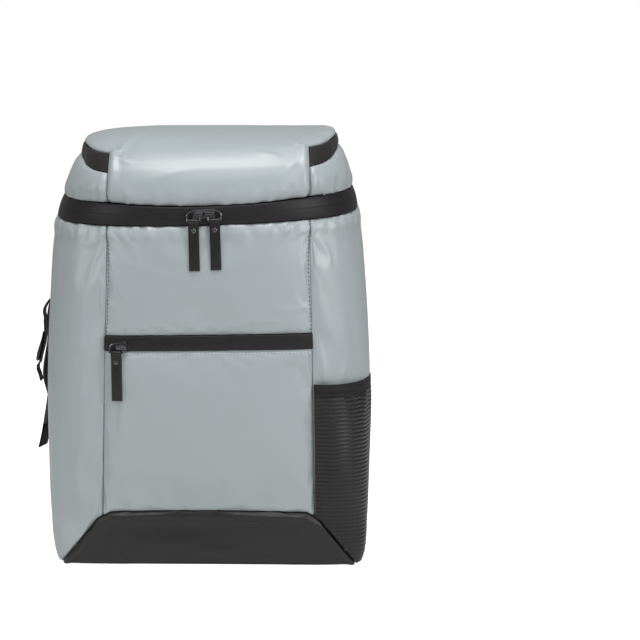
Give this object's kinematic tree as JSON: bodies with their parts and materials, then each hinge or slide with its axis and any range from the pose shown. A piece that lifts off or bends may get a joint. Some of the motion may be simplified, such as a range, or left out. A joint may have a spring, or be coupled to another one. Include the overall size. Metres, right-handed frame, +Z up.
{
  "type": "cooler backpack",
  "caption": "Soft insulated backpack with a domed zip-open lid, zipped front pocket, mesh side pocket, sloped black foot panel and padded shoulder straps, standing closed.",
  "frame": {"origin": "middle of the underside, on the surface the bag stands on", "axes": "+Z up towards the lid, -Y out of the front with the zipped pocket, +Y towards the wearer's back, +X towards the side with the mesh pocket"},
  "size_m": [0.3545, 0.2703, 0.4272],
  "materials": {
    "grey_cloth": "coated, semi-gloss",
    "black_coated": "coated, satin",
    "zip_tape": "water-resistant tape, satin",
    "pocket_mesh": "ribbed stretch mesh, matt",
    "hem_tape": "woven elastic, matt",
    "padding_cloth": "woven, matt",
    "webbing": "woven nylon, matt",
    "gusset_cloth": "woven, matt",
    "buckle_plastic": "moulded, satin",
    "pull_rubber": "moulded, matt",
    "dark_metal": "black plated, glossy"
  },
  "bodies": {
    "root": {"back_panel": "padding_cloth", "base_panel": "black_coated", "edge_buckle_left": "buckle_plastic", "edge_webbing_left": "webbing", "front_panel": "grey_cloth", "kick_panel": "black_coated", "ladder_lock_left": "buckle_plastic", "ladder_lock_right": "buckle_plastic", "lid_back": "grey_cloth", "lid_panel": "grey_cloth", "lid_side_left": "grey_cloth", "lid_side_right": "grey_cloth", "lid_strip_left": "black_coated", "lid_strip_right": "black_coated", "main_zip_lower": "zip_tape", "main_zip_upper": "zip_tape", "pocket_panel": "grey_cloth", "pocket_zip_lower": "zip_tape", "pocket_zip_upper": "zip_tape", "pull_ring_main_left": "dark_metal", "pull_ring_main_right": "dark_metal", "pull_ring_pocket": "dark_metal", "pull_rivet_main_left": "dark_metal", "pull_rivet_main_right": "dark_metal", "pull_rivet_pocket": "dark_metal", "pull_tab_main_left": "pull_rubber", "pull_tab_main_right": "pull_rubber", "pull_tab_pocket": "pull_rubber", "shoulder_strap_left": "padding_cloth", "shoulder_strap_right": "padding_cloth", "side_panel_left": "grey_cloth", "side_panel_right": "grey_cloth", "side_pocket": "pocket_mesh", "side_pocket_hem": "hem_tape", "slider_main_left": "dark_metal", "slider_main_right": "dark_metal", "slider_pocket": "dark_metal", "strap_gusset_left": "gusset_cloth", "strap_gusset_right": "gusset_cloth", "strap_keeper_left": "webbing", "strap_keeper_right": "webbing", "strap_webbing_left": "webbing", "strap_webbing_right": "webbing"}
  },
  "joints": []
}
